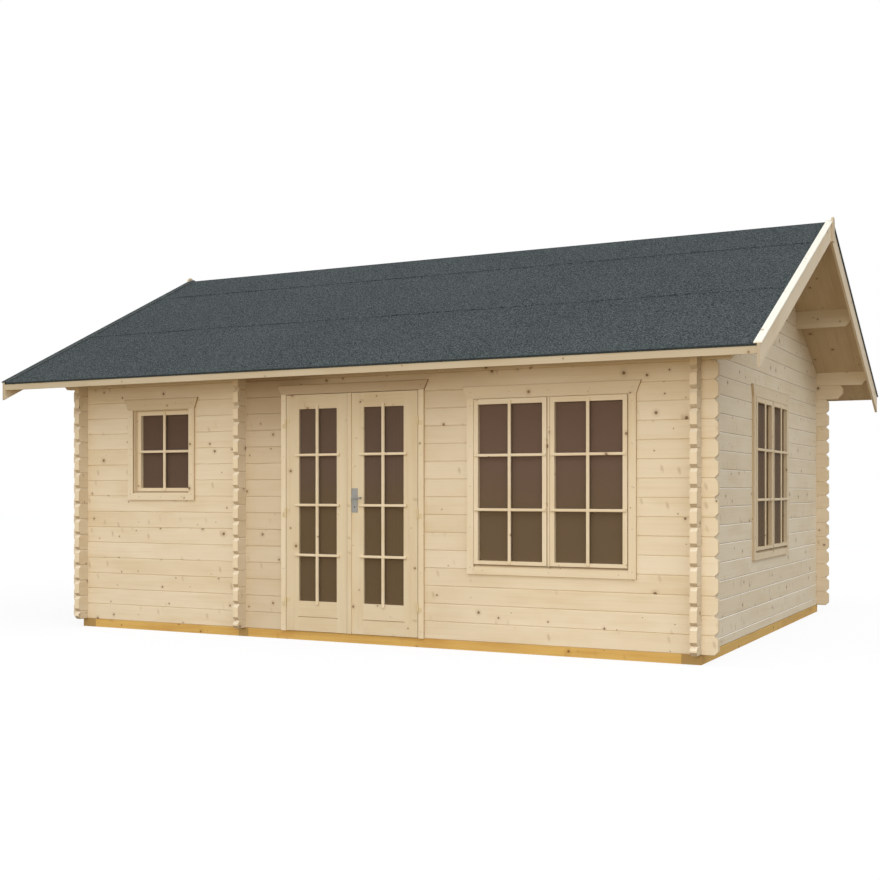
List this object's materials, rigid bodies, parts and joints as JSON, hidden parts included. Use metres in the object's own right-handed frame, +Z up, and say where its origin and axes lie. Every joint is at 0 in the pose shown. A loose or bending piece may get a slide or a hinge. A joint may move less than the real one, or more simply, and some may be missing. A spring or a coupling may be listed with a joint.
{
  "type": "log summer cottage",
  "caption": "Small log cottage with a low gabled felt roof, log ends at the corners, a glazed double door and casement windows; a room to walk into.",
  "frame": {"origin": "middle of the plan at ground level, on the underside of the bearers", "axes": "+X along the ridge to the gable with the window, -Y to the front with the door, +Z up"},
  "size_m": [6.5908, 5.2188, 3.4404],
  "materials": {
    "wall_log": "planed bare spruce",
    "trim": "planed bare spruce",
    "board": "planed bare spruce",
    "bearer": "impregnated pine",
    "roofing_felt": "mineral grit",
    "glass": "clear",
    "hinge_steel": "galvanised",
    "lock_steel": "satin"
  },
  "bodies": {
    "cottage": {"front_bearers": "bearer", "back_bearers": "bearer", "cross_bearers": "bearer", "floor_joists": "bearer", "main_floor": "board", "store_floor": "board", "front_roof_deck": "board", "back_roof_deck": "board", "front_wall_left": "wall_log", "front_wall_right": "wall_log", "front_wall_head": "wall_log", "back_wall": "wall_log", "left_gable": "wall_log", "right_gable": "wall_log", "partition_wall": "wall_log", "ridge_purlin": "wall_log", "front_purlin": "wall_log", "back_purlin": "wall_log", "front_fascia": "trim", "back_fascia": "trim", "left_bargeboards": "trim", "right_bargeboards": "trim", "left_verge_laths": "trim", "right_verge_laths": "trim", "apex_boards": "trim", "door_frame": "trim", "door_casing": "trim", "front_window": "trim", "front_window_casing": "trim", "small_window": "trim", "small_window_casing": "trim", "side_window": "trim", "side_window_casing": "trim", "front_felt": "roofing_felt", "back_felt": "roofing_felt", "ridge_felt": "roofing_felt", "front_window_glass": "glass", "small_window_glass": "glass", "side_window_glass": "glass", "frame_hinges": "hinge_steel"},
    "left_leaf": {"left_door_leaf": "trim", "left_door_glass": "glass", "left_leaf_hinges": "hinge_steel"},
    "right_leaf": {"right_door_leaf": "trim", "right_door_glass": "glass", "meeting_strip": "trim", "right_leaf_hinges": "hinge_steel", "lock_plates": "lock_steel"},
    "handle": {"door_handle": "lock_steel"}
  },
  "joints": [
    {"name": "left_door_hinge", "type": "hinge", "parent": "cottage", "child": "left_leaf", "pos_m": [-0.6175, -2.1785, 0.075], "axis": [0, 0, -1], "range_deg": [0, 110]},
    {"name": "right_door_hinge", "type": "hinge", "parent": "cottage", "child": "right_leaf", "pos_m": [0.5855, -2.1785, 0.075], "axis": [0, 0, 1], "range_deg": [0, 110]},
    {"name": "handle_turn", "type": "hinge", "parent": "right_leaf", "child": "handle", "pos_m": [0.027, -2.15, 1.141], "axis": [0, 1, 0], "range_deg": [0, 45], "stiffness_Nm_per_rad": 1.2, "springref_deg": -20.05}
  ]
}
